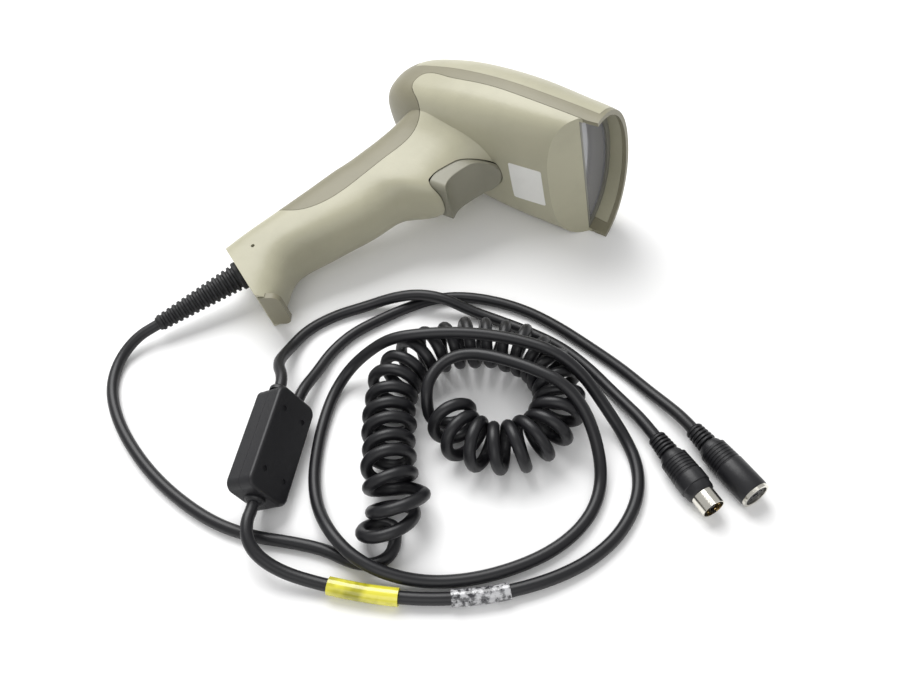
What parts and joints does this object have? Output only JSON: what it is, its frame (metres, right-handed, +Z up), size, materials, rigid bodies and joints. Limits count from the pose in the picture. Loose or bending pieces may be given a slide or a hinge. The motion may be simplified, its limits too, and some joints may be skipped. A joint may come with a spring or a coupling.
{
  "type": "handheld barcode scanner",
  "caption": "Handheld barcode scanner with a curly cord, a cord splitter and two round data connectors, lying on its cheek.",
  "frame": {"origin": "on the table under the middle of the scanner's box, cords left out", "axes": "+X forward out of the scan window, +Y from the foot of the handle towards the head's crown, +Z up from the table"},
  "size_m": [0.2732, 0.2521, 0.0771],
  "materials": {
    "beige_plastic": "satin, fine grain",
    "taupe_plastic": "satin, fine grain",
    "trigger_plastic": "satin",
    "filter": "smooth tinted",
    "clear": "smooth",
    "black_plastic": "satin",
    "cable_jacket": "satin",
    "steel": "plain",
    "chrome_steel": "bright",
    "contacts": "bright",
    "board": "solder mask",
    "dark_metal": "satin",
    "label": "matte",
    "yellow": "satin",
    "silver_sleeve": "gloss"
  },
  "bodies": {
    "root": {"upper_housing": "taupe_plastic", "top_cover": "beige_plastic", "lower_housing": "beige_plastic", "foot_cap": "taupe_plastic", "product_label": "label", "window_gasket": "black_plastic", "window": "filter", "trigger_pivot_pin": "steel", "trigger_spring": "steel", "switch_body": "black_plastic", "switch_board": "board", "inner_frame": "black_plastic", "main_board": "board", "board_chips": "black_plastic", "beeper": "black_plastic", "imager_chassis": "dark_metal", "sensor_board": "board", "lens_barrel": "black_plastic", "imager_lens": "clear", "illumination_board": "board", "led_lenses": "clear", "board_screws": "steel", "frame_screws": "steel", "status_lens": "clear", "housing_screws": "steel", "cable_jack": "black_plastic", "jack_board": "board", "cable_plug": "clear", "plug_latch": "clear", "ribbon_cable": "label", "cable_boot": "cable_jacket", "handle_lead": "cable_jacket", "curly_cord": "cable_jacket", "loop_lead": "cable_jacket", "plug_lead": "cable_jacket", "socket_lead": "cable_jacket", "yellow_sleeve": "yellow", "clear_sleeve": "silver_sleeve", "splitter_top_shell": "black_plastic", "splitter_bottom_shell": "black_plastic", "splitter_board": "board", "plug_grip": "black_plastic", "plug_shell": "chrome_steel", "plug_insert": "black_plastic", "plug_pins": "contacts", "socket_grip": "black_plastic", "socket_shell": "chrome_steel", "socket_insert": "black_plastic"},
    "trigger_body": {"trigger": "trigger_plastic"},
    "plunger_body": {"switch_plunger": "trigger_plastic"}
  },
  "joints": [
    {"name": "trigger_pull", "type": "hinge", "parent": "root", "child": "trigger_body", "pos_m": [0.00594, 0.02936, 0.03365], "axis": [0.0379, 0.1642, -0.9857], "range_deg": [0, 6], "stiffness_Nm_per_rad": 0.25, "springref_deg": -6.88},
    {"name": "plunger_travel", "type": "slide", "parent": "root", "child": "plunger_body", "axis": [-0.9993, 0, -0.0384], "range_m": [0, 0.00184]}
  ],
  "couplings": [
    {"joint": "plunger_travel", "follows": "trigger_pull", "m_per_rad": 0.0175}
  ]
}
